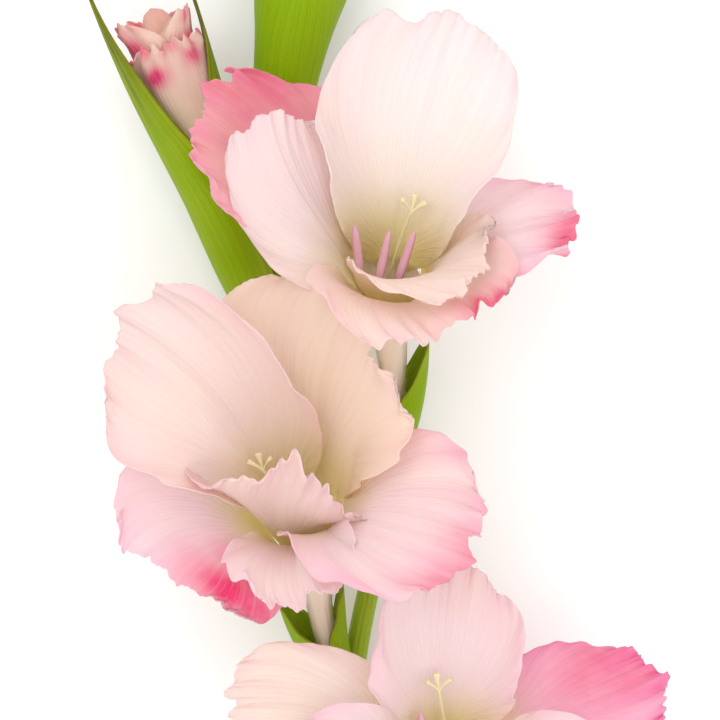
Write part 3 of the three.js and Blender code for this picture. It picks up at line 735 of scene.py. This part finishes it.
def vein_group():
    """Veins that fan out along the UV map's x, branched and uneven: a mask, and a height for the relief."""
    tree, n, given, made = group(
        "veins",
        [("Count", "NodeSocketFloat", 40.0), ("Wander", "NodeSocketFloat", 0.03)],
        [("Mask", "NodeSocketFloat"), ("Height", "NodeSocketFloat")],
    )
    uv = n.add("ShaderNodeUVMap").outputs["UV"]
    split = n.add("ShaderNodeSeparateXYZ")
    n.link(uv, split.inputs[0])
    stretched = n.add("ShaderNodeVectorMath", operation="MULTIPLY")
    stretched.inputs[1].default_value = (9.0, 3.0, 1.0)
    n.link(uv, stretched.inputs[0])
    wander = n.math("SUBTRACT", n.noise(1.0, 3.0, stretched.outputs[0]), 0.5)
    x = n.math("ADD", split.outputs["X"], n.math("MULTIPLY", wander, given["Wander"]))
    wave = n.math("SINE", n.math("MULTIPLY", n.math("MULTIPLY", x, given["Count"]), 2 * pi))
    fine = n.math("SINE", n.math("MULTIPLY", n.math("MULTIPLY", x, given["Count"]), 5.3 * pi))
    both = n.math("ADD", n.math("MULTIPLY", wave, 0.65), n.math("MULTIPLY", fine, 0.35))
    height = n.math("MULTIPLY", n.math("ADD", both, 1.0), 0.5)
    n.link(n.math("POWER", height, 3.0, clamp=True), made["Mask"])
    n.link(height, made["Height"])
    return tree


def use_group(n, tree, **values):
    node = n.add("ShaderNodeGroup", node_tree=tree)
    for name, value in values.items():
        node.inputs[name].default_value = value
    return node.outputs


def leafy_material(
    name, colours, roughness, see_through, relief, count, wander, shine=0.35, sheen=0.1, cloudy=0.25
):
    """A thin living skin: clouded colours, light that comes through, and a veined relief. colours are (at
    the base, over the blade, along the margin, in the deep patches, on the veins, and where it is warm, which
    may be left out). count and wander are the veins', and cloudy is how much of the base drifts over it."""
    material = bpy.data.materials.new(f"{name}_finish")
    material.use_nodes = True
    n = Nodes(material.node_tree)
    material.node_tree.nodes.clear()
    base, blade, margin, deep, vein, *warm = colours
    veins = use_group(n, bpy.data.node_groups["veins"], Count=count, Wander=wander)
    mottle = n.noise(90.0, 4.0)
    cloud = n.noise(28.0, 2.0)
    drift = n.math("MULTIPLY", n.math("SUBTRACT", cloud, 0.42), 2.5 * cloudy, clamp=True)
    tone = n.blend(n.blend(blade, base, drift), base, n.mask("cream"))
    if warm:
        tone = n.blend(tone, warm[0], n.mask("warm"))
    uneven = n.math("ADD", n.math("MULTIPLY", cloud, 0.9), 0.6)
    blush = n.math("MULTIPLY", n.mask("blush"), uneven, clamp=True)
    tone = n.blend(tone, margin, blush)
    streaks = n.math("ADD", n.math("MULTIPLY", veins["Height"], 0.4), n.math("MULTIPLY", mottle, 1.5))
    patches = n.math("MULTIPLY", n.mask("deep"), streaks, clamp=True)
    tone = n.blend(tone, deep, patches)
    tone = n.blend(tone, vein, n.math("MULTIPLY", veins["Mask"], 0.15))
    bump = n.add("ShaderNodeBump")
    bump.inputs["Strength"].default_value = relief
    bump.inputs["Distance"].default_value = RELIEF_DEPTH
    n.link(n.math("ADD", veins["Height"], n.math("MULTIPLY", mottle, 0.8)), bump.inputs["Height"])
    skin = n.add("ShaderNodeBsdfPrincipled")
    skin.inputs["Roughness"].default_value = roughness
    skin.inputs["Specular IOR Level"].default_value = shine
    skin.inputs["Sheen Weight"].default_value = sheen
    n.link(tone, skin.inputs["Base Color"])
    n.link(bump.outputs[0], skin.inputs["Normal"])
    glow = n.add("ShaderNodeBsdfTranslucent")
    n.link(tone, glow.inputs["Color"])
    n.link(bump.outputs[0], glow.inputs["Normal"])
    both = n.add("ShaderNodeMixShader")
    both.inputs[0].default_value = see_through
    n.link(skin.outputs[0], both.inputs[1])
    n.link(glow.outputs[0], both.inputs[2])
    n.link(both.outputs[0], n.add("ShaderNodeOutputMaterial").inputs["Surface"])
    return material


def make_finishes(colours):
    """All the finishes, by name."""
    vein_group()
    own = {name: (*getattr(colours, name), 1.0) for name in COLOURS}
    order = ("throat", "petal", "petal_pink", "petal_deep", "petal_vein", "petal_warm")
    petal = [own[name] for name in order]
    for name, count in (("petal_pale", 34.0), ("petal_pink", 30.0)):
        leafy_material(
            name, petal, roughness=0.5, see_through=0.45, relief=0.4, count=count, wander=0.02, shine=0.25
        )
    leafy_material(
        "tube", (colour(204, 202, 110), own["petal_warm"], own["petal"], own["petal_deep"], own["throat"]),
        roughness=0.45, see_through=0.2, relief=0.25, count=14.0, wander=0.02,
    )
    leafy_material(
        "bract", (colour(168, 190, 50), own["bract"], own["bract_edge"], own["dry"], colour(96, 130, 0)),
        roughness=0.4, see_through=0.2, relief=0.6, count=16.0, wander=0.004,
        shine=0.1, sheen=0.0, cloudy=1.0,
    )
    leafy_material(
        "leaf", (colour(150, 172, 60), own["leaf"], own["bract_edge"], own["dry"], colour(76, 112, 16)),
        roughness=0.4, see_through=0.1, relief=0.7, count=14.0, wander=0.002, shine=0.2, sheen=0.0,
    )
    leafy_material(
        "stem", (colour(150, 176, 60), own["stem"], own["bract_edge"], own["dry"], colour(100, 134, 16)),
        roughness=0.4, see_through=0.0, relief=0.5, count=12.0, wander=0.004, shine=0.25, sheen=0.0,
    )
    leafy_material(
        "stamen",
        (colour(240, 226, 190), own["anther"], own["anther_edge"], own["anther_speck"], own["anther_edge"]),
        roughness=0.6, see_through=0.0, relief=0.3, count=6.0, wander=0.05,
    )
    leafy_material(
        "style", (colour(236, 230, 176), own["stigma"], own["stigma"], own["throat"], own["petal"]),
        roughness=0.55, see_through=0.2, relief=0.2, count=4.0, wander=0.05,
    )


def mark(piece, cream, blush, deep, warm=0.0):
    """The masks that a finish reads: pale base, blush, deep patches and warmth."""
    for name, values in (("cream", cream), ("blush", blush), ("deep", deep), ("warm", warm)):
        set_mask(piece, name, np.broadcast_to(values, len(piece.data.vertices)))


# ---- Pieces of a flower ----


def make_tepal(settings, name, flower, part, seed):
    """One petal: the bent grid with its frills, thin and closed."""
    rng = np.random.default_rng(seed)
    spec = flower["tepals"][part]
    looks = spec["looks"]
    piece = grid(f"{name}_{part}", settings.petal_rows, settings.petal_columns)
    u, v = along_across(piece)
    u = mix(-CLAW_DEPTH / spec["length"], 1, u)
    places, _ = tepal_surface(flower, part, u, v, rng)
    lay(piece, places)
    fan, near = fan_of(u, v), near_edge(u, v)
    set_uv(piece, fan * 0.5 + 0.5, u)
    patchy = 0.75 + 0.25 * ripple(fan, rng, 2, 6)
    deep = np.zeros(len(u))
    for at_u, at_v, reach, strength in looks.get("deep", ()):
        away = ((u - at_u) / reach) ** 2 + ((v - at_v) / (2.2 * reach)) ** 2
        deep = np.maximum(deep, strength * np.exp(-away))
    blush = looks.get("blush", 0.2) * (0.25 * smooth(u / 0.6) + 0.9 * near**6) * patchy
    blush = blush + looks.get("pink", 0) * smooth((u - 0.1) / 0.4)
    cream = smooth(1 - u / 0.5) ** 1.2
    mark(piece, cream, blush, deep, looks.get("warm", 0) * (1 - 0.5 * cream))
    thicken(piece, settings.petal_thickness / MM)
    slot = "petal_pale" if part.startswith("inner") else "petal_pink"
    return finish_piece(piece, slot, f"{name}_{part}")


def make_tube(name, flower):
    """The curved funnel under the petals, with its open throat."""
    outside = [
        (0, 0), (0, 2.4), (0.02, 2.9), (0.22, TUBE_RADIUS), (0.5, TUBE_RADIUS * 1.12),
        (0.66, TUBE_RADIUS * 1.45), (0.76, RIM_RADIUS * 0.6), (0.88, RIM_RADIUS * 0.8),
        (0.985, RIM_RADIUS * 0.96),
    ]
    inside = [
        (0.985, RIM_RADIUS * 0.94), (0.88, RIM_RADIUS * 0.78), (0.76, RIM_RADIUS * 0.57),
        (0.66, RIM_RADIUS * 0.38), (0.55, 2.6), (0.42, 2.0), (0.4, 0),
    ]
    ridge = lambda t, angle: 1 + 0.035 * np.cos(6 * angle) * smooth((t - 0.3) / 0.5)
    curve = tube_curve(flower)
    piece = roll_up(f"{name}_tube", curve, outside + inside, FACE_UP, 48, 96, ridge)
    t = share_along(piece)
    mark(piece, smooth(1 - t / 0.6) * 0.7, 0.5, 0)
    return finish_piece(piece, "tube", f"{name}_tube")


def in_flower(flower, right_up_out):
    throat, axis, up, right = flower_frame(flower)
    r, u, o = right_up_out
    return throat + right * r + up * u + axis * o


def make_stamen(name, flower, part):
    """A filament that carries a long two-lobed anther."""
    hinge, tip = flower["stamens"][part]
    side = np.sign(hinge[0] + tip[0])
    foot = in_flower(flower, (1.6 * side, -1.9 if part == "middle" else 0.6, -10))
    hinge, tip = in_flower(flower, hinge), in_flower(flower, tip)
    _, axis, _, _ = flower_frame(flower)
    curve = curve_through(foot, foot + (hinge - foot) * 0.6, hinge, (hinge + tip) / 2, tip)
    filament, anther_length = np.linalg.norm(hinge - foot), np.linalg.norm(tip - hinge)
    start = filament / (filament + anther_length) - 0.02
    rings = [
        (0, 0), (0, 0.5), (0.2, 0.55), (start - 0.1, 0.42), (start - 0.02, 0.3), (start, 0.7),
        (start + 0.04, 1.35), (mix(start, 1, 0.3), 1.55), (mix(start, 1, 0.6), 1.45),
        (mix(start, 1, 0.85), 1.15), (0.985, 0.7), (1, 0.25), (1, 0),
    ]
    lobes = lambda t, angle: np.where(t > start, 1 - 0.34 * np.abs(np.cos(angle)) ** 8, 1.0)
    piece = roll_up(f"{name}_stamen_{part}", curve, rings, axis, 24, 60, lobes)
    t = share_along(piece)
    anther = smooth((t - start) / 0.04)
    mark(piece, 1 - anther, anther * 0.5, anther * 0.14)
    return finish_piece(piece, "stamen", f"{name}_stamen_{part}")


def make_style(name, flower):
    """The style, with three lobes that spread and widen to flat tips."""
    _, _, up, right = flower_frame(flower)
    points = [in_flower(flower, p) for p in ((0, 2.4, -9), *flower["style"])]
    curve = curve_through(*points)
    ahead = curve.ahead(np.array(1.0))
    tip = curve.at(np.array(1.0))
    stalk = roll_up(f"{name}_style", curve, [(0, 0), (0, 0.5), (0.5, 0.48), (1, 0.5), (1, 0)], right, 12, 40)
    lobes = []
    for turn in (-55, 0, 55):
        heading = unit(ahead * 0.9 + right * np.sin(radians(turn)) + up * (0.1 if turn else 0.5))
        start = tip - ahead * 0.6
        bow = curve_through(start, start + heading * 2.4 + ahead * 0.4, start + heading * 5.2)
        rings = [(0, 0), (0, 0.35), (0.4, 0.45), (0.75, 0.9), (0.92, 1.15), (1, 0.9), (1, 0)]
        flat = lambda t, angle: 1 - 0.5 * np.abs(np.sin(angle)) * smooth(t / 0.6)
        lobes.append(roll_up(f"{name}_lobe", bow, rings, ahead, 14, 24, flat))
    bpy.ops.object.select_all(action="DESELECT")
    for lobe in lobes:
        lobe.select_set(True)
    stalk.select_set(True)
    bpy.context.view_layer.objects.active = stalk
    bpy.ops.object.join()
    mark(stalk, 0, 0.4, 0)
    return finish_piece(stalk, "style", f"{name}_style")


def make_bract(settings, name, curve, seed, slot="bract", thickness=BRACT_LOOK_THICKNESS, brown=0.12, **spec):
    """A green bract or leaf, veined from end to end, with a pale margin and a dry tip."""
    rng = np.random.default_rng(seed)
    piece = grid(name, settings.blade_rows, settings.blade_columns)
    u, v = along_across(piece)
    places, face = clasping_surface(curve, u, v, **spec)
    near = np.abs(v) ** 3
    wave = 0.45 * near * ripple(u, rng, 1, 4) + 0.12 * ripple(v, rng, 1, 3)
    wave = wave - 0.25 * np.exp(-((v / 0.08) ** 2))
    lay(piece, places + face * (wave * smooth(u / 0.15))[:, None])
    set_uv(piece, v * 0.5 + 0.5, u)
    dry = smooth((u - 1 + brown) / brown) * (0.7 + 0.5 * ripple(v, rng, 1, 3))
    edge = smooth((np.abs(v) - 0.86) / 0.14) * 0.7 + 0.2 * smooth(u)
    dry = np.maximum(dry, 0.6 * smooth((np.abs(v) - 0.92) / 0.08) * smooth(u / 0.4))
    mark(piece, smooth(1 - u / 0.3) * 0.6, edge, dry)
    thicken(piece, thickness)
    return finish_piece(piece, slot, name)


# ---- Stem, leaves and buds ----


def make_stem():
    """The ribbed stem, from its flat cut end to its thin tip."""
    curve = stem_curve()
    rings = [(0, 0), (0, STEM_RADIUS * 0.55), (0, STEM_RADIUS * 0.97), (0.0008, STEM_RADIUS)]
    rings += [(t, float(spread(STEM_RADII, t))) for t in np.linspace(0.002, 1, 60)] + [(1, 0.6), (1, 0)]
    ribs = lambda t, angle: 1 + 0.018 * np.cos(14 * angle) + 0.012 * np.cos(5 * angle + 9 * t)
    piece = roll_up("stem", curve, rings, FACE_UP, 64, 240, ribs)
    t = share_along(piece)
    mark(piece, smooth(1 - t / 0.004), 0.3, 0)
    return finish_piece(piece, "stem", "stem")


def make_leaves(settings):
    """Two sheathing leaves, low on opposite sides of the stem."""
    curve = stem_curve()
    leaves = (("leaf_lower", 0.05, (-1, 0, 0.1), 34), ("leaf_upper", 0.16, (1, 0, 0.1), 30))
    for i, (name, along, back, lean) in enumerate(leaves):
        make_bract(
            settings, name, curve, LEAF_SEED + i, slot="leaf", thickness=LEAF_LOOK_THICKNESS, brown=0.05,
            along=along, length=LEAF_LENGTH, width=LEAF_WIDTH, radius=STEM_RADIUS + 1, back=back, lean=lean,
            open=60, claw=0.9, widest=0.4,
        )


def make_opening_bud(settings):
    """Rolled petals in two bracts."""
    curve = curve_through(*OPENING_BUD_PATH)
    rings = [(0, 0)] + [(t, float(spread(BUD_CORE_RADII, t))) for t in np.linspace(0, 0.94, 30)]
    rings += [(0.97, 3.8), (0.99, 2.4), (1, 0)]
    pleats = lambda t, angle: 1 + 0.16 * smooth((t - 0.6) / 0.4) * np.cos(3 * angle + 7 * t)
    piece = roll_up("opening_bud_core", curve, rings, FACE_UP, 48, 90, pleats)
    t = share_along(piece)
    flush = 0.15 * smooth((t - 0.5) / 0.4)
    mark(piece, smooth(1 - t / 0.7), flush, smooth((t - 0.9) / 0.1) * 0.2, warm=0.9)
    finish_piece(piece, "petal_pink", "opening_bud_core")
    for i, (part, spec) in enumerate(BUD_TEPALS.items()):
        rng = np.random.default_rng(BUD_TEPAL_SEED + i)
        piece = grid(f"opening_bud_tepal_{part}", settings.blade_rows, settings.blade_columns)
        u, v = along_across(piece)
        spec = dict(along=0.54, width=36, lean=BUD_FLARE, open=spec["radius"] + BUD_FLARE, **spec)
        places, face = clasping_surface(curve, u, v, claw=0.5, widest=0.8, tip=0.6, **spec)
        near = near_edge(u, v)
        wave = near**6 * ripple(fan_of(u, v), rng, 3, 8) - 0.9 * smooth((u - 0.86) / 0.14)
        notch = near**8 * 1.2 * ripple(v, rng, 1, 4)
        ahead = unit(curve.ahead(np.clip(spec["along"] + u * spec["length"] / curve.length, 0, 1)))
        lay(piece, places + face * wave[:, None] + ahead * (notch * smooth((u - 0.7) / 0.3))[:, None])
        set_uv(piece, v * 0.5 + 0.5, u)
        rim = smooth((u - 0.9) / 0.08) * (0.5 + 0.6 * ripple(v, rng, 1, 3))
        places_of_spots = ((0.8, 0.35), (0.86, -0.4))
        spots = sum(np.exp(-(((u - a) / 0.07) ** 2) - ((v - b) / 0.2) ** 2) for a, b in places_of_spots)
        red = np.clip(rim * 0.5 + spots * 1.1, 0, 1)
        flush, warmth = 0.12 * smooth((u - 0.4) / 0.4), 0.5 * smooth((u - 0.2) / 0.6)
        mark(piece, 0.85 * smooth(1.15 - u / 0.8), flush, red, warmth)
        thicken(piece, BRACT_LOOK_THICKNESS)
        finish_piece(piece, "petal_pink", f"opening_bud_tepal_{part}")
    for i, (part, spec) in enumerate(BUD_BRACTS.items()):
        make_bract(settings, f"opening_bud_{part}_bract", curve, BUD_BRACT_SEED + i, brown=0.45, **spec)


def make_green_buds(settings):
    """Closed buds, each in its one bract, that get smaller towards the tip."""
    for i, (name, bud) in enumerate(GREEN_BUDS.items()):
        curve = curve_through(*bud["path"])
        thick = bud["thick"]
        rings = [
            (0, 0), (0, 0.4 * thick), (0.2, 0.75 * thick), (0.4, thick), (0.6, thick), (0.8, 0.8 * thick),
            (0.93, 0.45 * thick), (1, 0.2 * thick), (1, 0),
        ]
        piece = roll_up(f"{name}_body", curve, rings, FACE_UP, 32, 60)
        t = share_along(piece)
        mark(piece, smooth(1 - t / 0.5), 0.3, 0)
        finish_piece(piece, "bract", f"{name}_body")
        make_bract(
            settings, f"{name}_bract", curve, GREEN_BUD_SEED + i, along=0.02, length=bud["length"],
            width=bud["width"], radius=thick + 1, back=bud["back"], lean=1.5, open=thick * 3,
        )


# ---- Settings and operators ----


def steps_property(name, description, default, least):
    return bpy.props.IntProperty(name=name, description=description, default=default, min=least)


def length_property(name, description, default):
    return bpy.props.FloatProperty(name=name, description=description, default=default, unit="LENGTH")


class PetalSettings(bpy.types.PropertyGroup):
    """How fine and how thick the blades are."""

    petal_rows: steps_property("Petal rows", "Steps along a petal", 96, 16)
    petal_columns: steps_property("Petal columns", "Steps across a petal", 110, 16)
    petal_thickness: length_property("Petal thickness", "Thickness of a petal", 0.0004)
    blade_rows: steps_property("Bract rows", "Steps along a bract or leaf", 90, 12)
    blade_columns: steps_property("Bract columns", "Steps across a bract or leaf", 40, 8)


def colour_property(name):
    label, rgb = COLOURS[name]
    return bpy.props.FloatVectorProperty(
        name=label, description=f"Colour of the {label.lower()}", subtype="COLOR",
        default=colour(*rgb)[:3], min=0, max=1,
    )


class ColourSettings(bpy.types.PropertyGroup):
    """The colours of the petals, the greens and the stamens."""

    __annotations__ = {name: colour_property(name) for name in COLOURS}


class StageSettings(bpy.types.PropertyGroup):
    """The camera, the lights and the floor."""

    camera_height: length_property("Camera height", "From the flowers' middle plane", 0.833)
    view_width: length_property("View width", "How much the camera sees at the flowers' middle plane", 0.2)
    flower_plane: length_property("Flower plane", "Height of the flowers' middle plane", 0.042)
    floor_colour: bpy.props.FloatVectorProperty(
        name="Floor", description="Colour of the floor", subtype="COLOR", default=(0.97, 0.97, 0.97)
    )


class SPIKE_OT_finishes(bpy.types.Operator):
    """Make the finishes of petals, bracts, stem and stamens"""

    bl_idname = "spike.finishes"
    bl_label = "Finishes"

    def execute(self, context):
        make_finishes(context.scene.spike_colours)
        return {"FINISHED"}


class SPIKE_OT_stem(bpy.types.Operator):
    """Make the stem"""

    bl_idname = "spike.stem"
    bl_label = "Stem"

    def execute(self, context):
        make_stem()
        return {"FINISHED"}


class SPIKE_OT_leaves(bpy.types.Operator):
    """Make the two sheathing leaves"""

    bl_idname = "spike.leaves"
    bl_label = "Leaves"

    def execute(self, context):
        make_leaves(context.scene.spike_petals)
        return {"FINISHED"}


class SPIKE_OT_petals(bpy.types.Operator):
    """Make the petals of the open flowers"""

    bl_idname = "spike.petals"
    bl_label = "Petals"

    def execute(self, context):
        for i, (name, flower) in enumerate(FLOWERS.items()):
            for j, part in enumerate(flower["tepals"]):
                make_tepal(context.scene.spike_petals, name, flower, part, PETAL_SEED + 10 * i + j)
        return {"FINISHED"}


class SPIKE_OT_tubes(bpy.types.Operator):
    """Make the tubes of the open flowers"""

    bl_idname = "spike.tubes"
    bl_label = "Tubes"

    def execute(self, context):
        for name, flower in FLOWERS.items():
            make_tube(name, flower)
        return {"FINISHED"}


class SPIKE_OT_stamens(bpy.types.Operator):
    """Make the stamens and styles of the open flowers"""

    bl_idname = "spike.stamens"
    bl_label = "Stamens and styles"

    def execute(self, context):
        for name, flower in FLOWERS.items():
            make_style(name, flower)
            for part in flower["stamens"]:
                make_stamen(name, flower, part)
        return {"FINISHED"}


class SPIKE_OT_bracts(bpy.types.Operator):
    """Make the two bracts of each open flower"""

    bl_idname = "spike.bracts"
    bl_label = "Bracts"

    def execute(self, context):
        for i, (name, flower) in enumerate(FLOWERS.items()):
            curve = tube_curve(flower)
            radii = {"outer": BRACT_RADIUS, "inner": BRACT_RADIUS - 1.4}
            for part, spec in flower["bracts"].items():
                make_bract(
                    context.scene.spike_petals, f"{name}_{part}_bract", curve, BRACT_SEED + i,
                    radius=radii[part], **spec,
                )
        return {"FINISHED"}


class SPIKE_OT_opening_bud(bpy.types.Operator):
    """Make the opening bud"""

    bl_idname = "spike.opening_bud"
    bl_label = "Opening bud"

    def execute(self, context):
        make_opening_bud(context.scene.spike_petals)
        return {"FINISHED"}


class SPIKE_OT_green_buds(bpy.types.Operator):
    """Make the green buds at the tip"""

    bl_idname = "spike.green_buds"
    bl_label = "Green buds"

    def execute(self, context):
        make_green_buds(context.scene.spike_petals)
        return {"FINISHED"}


class SPIKE_OT_stage(bpy.types.Operator):
    """Make the floor, the lights and the camera"""

    bl_idname = "spike.stage"
    bl_label = "Stage"

    def execute(self, context):
        scene = context.scene
        stage = scene.spike_stage
        bpy.ops.object.select_all(action="DESELECT")
        bpy.ops.mesh.primitive_plane_add(size=FLOOR_SIZE)
        floor = context.object
        floor.name = "floor"
        pale = bpy.data.materials.new("floor")
        pale.use_nodes = True
        skin = pale.node_tree.nodes["Principled BSDF"]
        skin.inputs["Base Color"].default_value = (*stage.floor_colour, 1)
        skin.inputs["Roughness"].default_value = 0.9
        floor.data.materials.append(pale)

        middle = SHIFT * MM
        centre = (middle[0], middle[1], middle[2] + stage.flower_plane)
        eye = (centre[0], centre[1], centre[2] + stage.camera_height)
        bpy.ops.object.camera_add(location=eye, rotation=(0, 0, 0))
        camera = context.object
        camera.data.sensor_width = SENSOR_WIDTH
        camera.data.lens = SENSOR_WIDTH * stage.camera_height / stage.view_width
        scene.camera = camera

        for name, (place, power) in LIGHTS.items():
            bpy.ops.object.light_add(type="AREA", location=np.array(centre) + place)
            light = context.object
            light.name = name
            light.data.size = LIGHT_SIZE
            light.data.energy = power
            light.rotation_euler = Vector(place).to_track_quat("Z", "Y").to_euler()
        world = bpy.data.worlds.new("soft_light")
        world.use_nodes = True
        world.node_tree.nodes["Background"].inputs["Color"].default_value = (1, 1, 1, 1)
        world.node_tree.nodes["Background"].inputs["Strength"].default_value = WORLD_STRENGTH
        scene.world = world
        scene.view_settings.view_transform = "Standard"
        return {"FINISHED"}


class SPIKE_PT_panel(bpy.types.Panel):
    """Lists the pieces of the spike"""

    bl_label = "Gladiolus spike"
    bl_space_type = "VIEW_3D"
    bl_region_type = "UI"
    bl_category = "Gladiolus"

    def draw(self, context):
        for operator in OPERATORS:
            self.layout.operator(operator.bl_idname)


OPERATORS = (
    SPIKE_OT_finishes,
    SPIKE_OT_stem,
    SPIKE_OT_leaves,
    SPIKE_OT_tubes,
    SPIKE_OT_petals,
    SPIKE_OT_stamens,
    SPIKE_OT_bracts,
    SPIKE_OT_opening_bud,
    SPIKE_OT_green_buds,
    SPIKE_OT_stage,
)
CLASSES = (PetalSettings, ColourSettings, StageSettings, *OPERATORS, SPIKE_PT_panel)


def register():
    for cls in CLASSES:
        bpy.utils.register_class(cls)
    bpy.types.Scene.spike_petals = bpy.props.PointerProperty(type=PetalSettings)
    bpy.types.Scene.spike_colours = bpy.props.PointerProperty(type=ColourSettings)
    bpy.types.Scene.spike_stage = bpy.props.PointerProperty(type=StageSettings)


def unregister():
    del bpy.types.Scene.spike_stage
    del bpy.types.Scene.spike_colours
    del bpy.types.Scene.spike_petals
    for cls in reversed(CLASSES):
        bpy.utils.unregister_class(cls)


def main():
    register()
    for operator in OPERATORS:
        group_name, call = operator.bl_idname.split(".")
        getattr(getattr(bpy.ops, group_name), call)()


if __name__ == "__main__":
    main()
